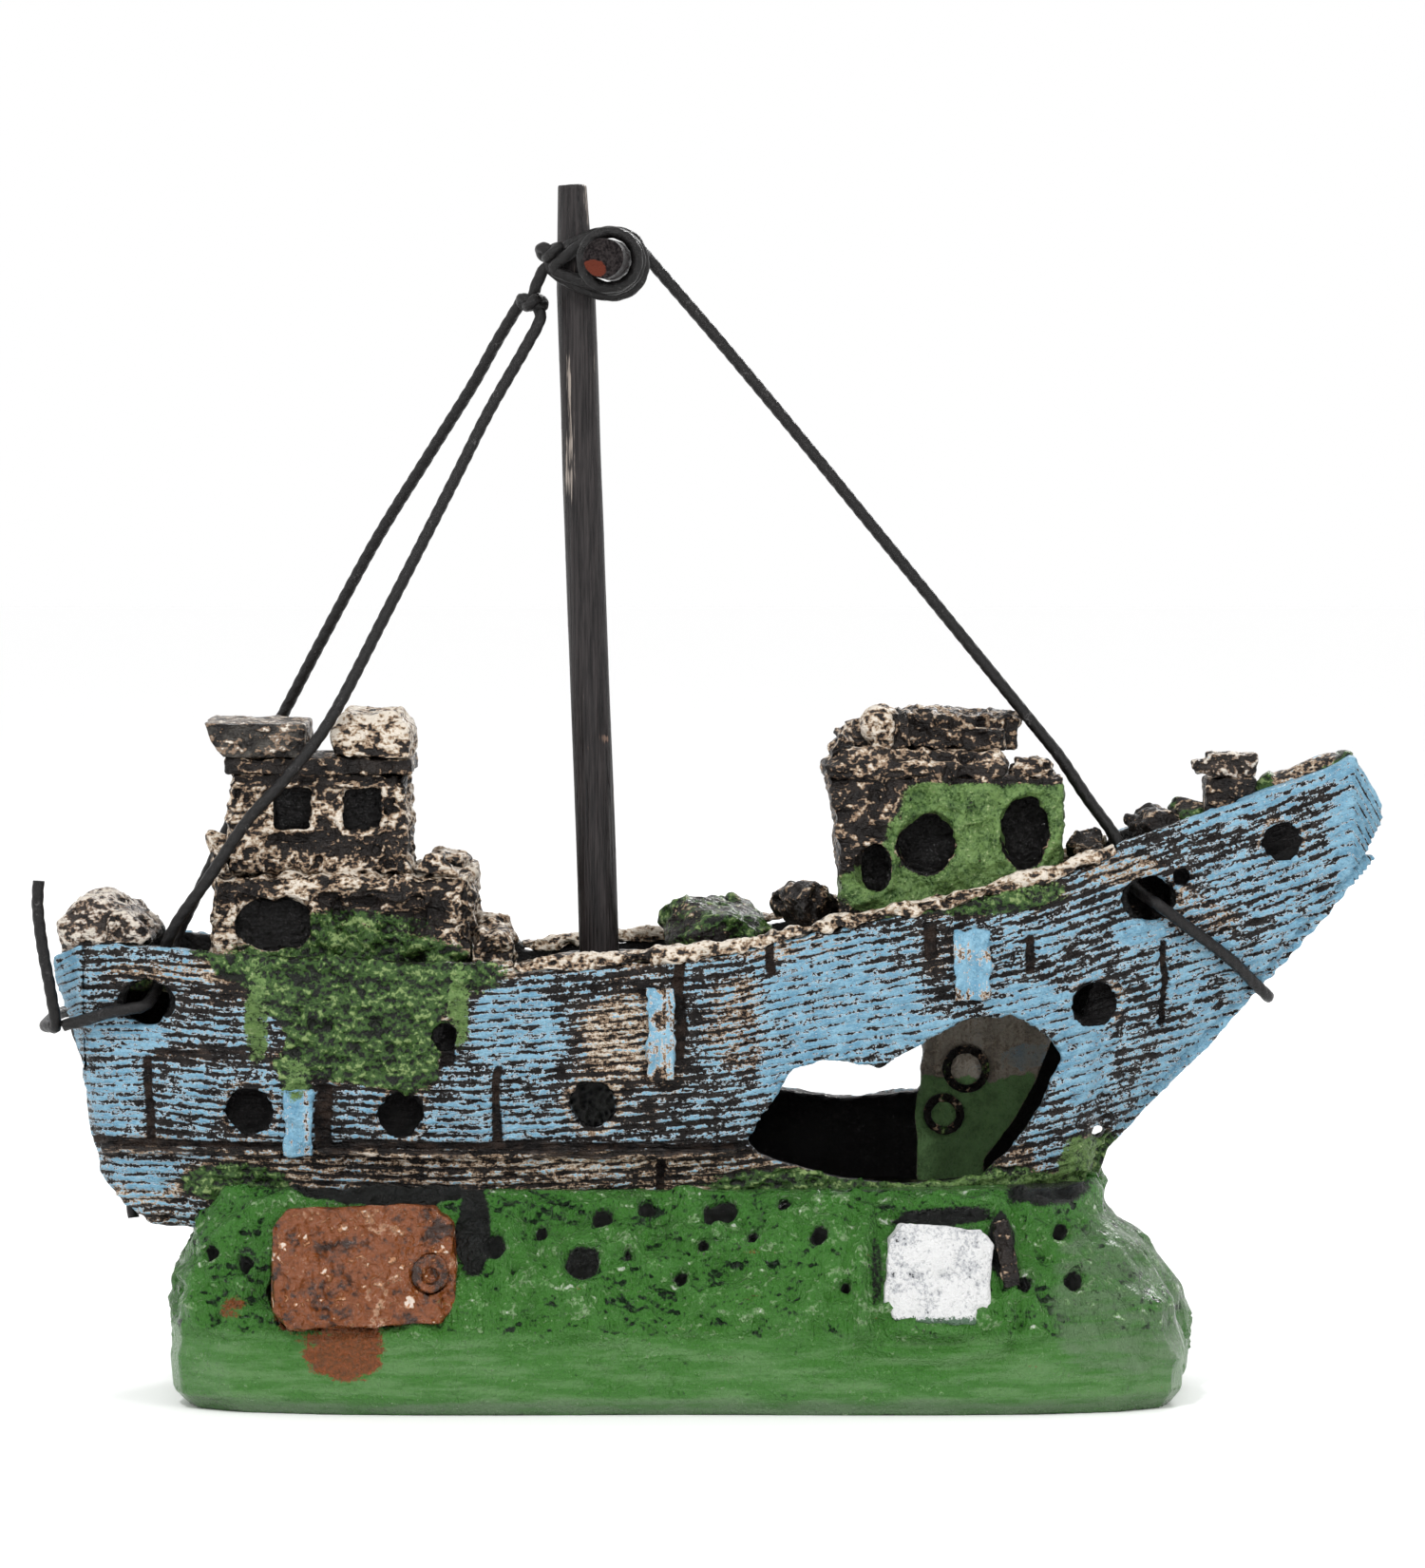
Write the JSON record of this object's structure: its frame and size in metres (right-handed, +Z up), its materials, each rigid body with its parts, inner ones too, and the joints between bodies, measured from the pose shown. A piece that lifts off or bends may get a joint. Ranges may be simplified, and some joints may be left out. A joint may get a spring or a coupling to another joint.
{
  "type": "bubbling aquarium shipwreck ornament",
  "caption": "Cast shipwreck ornament on a reef base with a wooden mast and yard, cord rigging, a broken hull side and a hidden air stone.",
  "frame": {"origin": "middle of the reef's flat underside, below the middle of the hull's length", "axes": "+Z up, +X towards the bow, +Y to port, so the broken starboard side faces -Y"},
  "size_m": [0.1306, 0.0485, 0.1176],
  "materials": {
    "reef_resin": "gloss",
    "hull_resin": "satin",
    "dark_resin": "satin",
    "cabin_resin": "satin",
    "moss_resin": "satin",
    "brown_resin": "gloss",
    "silver_resin": "satin",
    "mast_wood": "stained",
    "yard_wood": "stained",
    "waxed_cord": "waxed",
    "air_plastic": "gloss",
    "air_stone": "rough"
  },
  "bodies": {
    "wreck": {"reef_base": "reef_resin", "brown_crate": "brown_resin", "brown_crate_hasp": "brown_resin", "silver_crate": "silver_resin", "crate_bar": "dark_resin", "hull_starboard": "hull_resin", "hull_port": "hull_resin", "stem_post": "hull_resin", "transom": "hull_resin", "stern_rail": "cabin_resin", "gunwale_starboard": "cabin_resin", "gunwale_port": "cabin_resin", "wale_starboard": "dark_resin", "wale_port": "dark_resin", "fender_aft": "hull_resin", "fender_waist": "hull_resin", "fender_fore": "hull_resin", "aft_deck": "dark_resin", "main_deck": "dark_resin", "fore_deck": "dark_resin", "stern_web": "dark_resin", "bow_web": "dark_resin", "hold_rings": "moss_resin", "aft_cabin": "cabin_resin", "wheelhouse": "cabin_resin", "wheelhouse_eave": "cabin_resin", "roof_slab_aft": "cabin_resin", "roof_slab_fore": "cabin_resin", "corner_post": "cabin_resin", "broken_bulwark": "cabin_resin", "aft_rubble": "cabin_resin", "fore_cabin": "moss_resin", "fore_cabin_roof": "cabin_resin", "roof_planks": "cabin_resin", "roof_rubble": "cabin_resin", "skull": "cabin_resin", "corner_stub": "cabin_resin", "deck_boulder": "moss_resin", "deck_debris": "dark_resin", "bow_debris": "dark_resin", "bow_boulder": "moss_resin", "bow_moss": "moss_resin", "bollard_base": "dark_resin", "bollard_cap": "silver_resin", "mast_step": "dark_resin", "mast": "mast_wood", "lashing_inner": "waxed_cord", "lashing_outer": "waxed_cord", "forestay": "waxed_cord", "backstay_starboard": "waxed_cord", "backstay_port": "waxed_cord", "stern_sling": "waxed_cord", "stern_tail_upper": "waxed_cord", "stern_tail_lower": "waxed_cord", "air_inlet": "air_plastic", "air_riser": "air_plastic"},
    "yard": {"yard": "yard_wood"},
    "stone": {"air_stone": "air_stone"}
  },
  "joints": [
    {"name": "yard_slide", "type": "slide", "parent": "wreck", "child": "yard", "axis": [-0.07, -0.9975, 0.01], "range_m": [-0.006, 0.006]},
    {"name": "stone_pull", "type": "slide", "parent": "wreck", "child": "stone", "axis": [1, 0, 0], "range_m": [0, 0.008]}
  ]
}
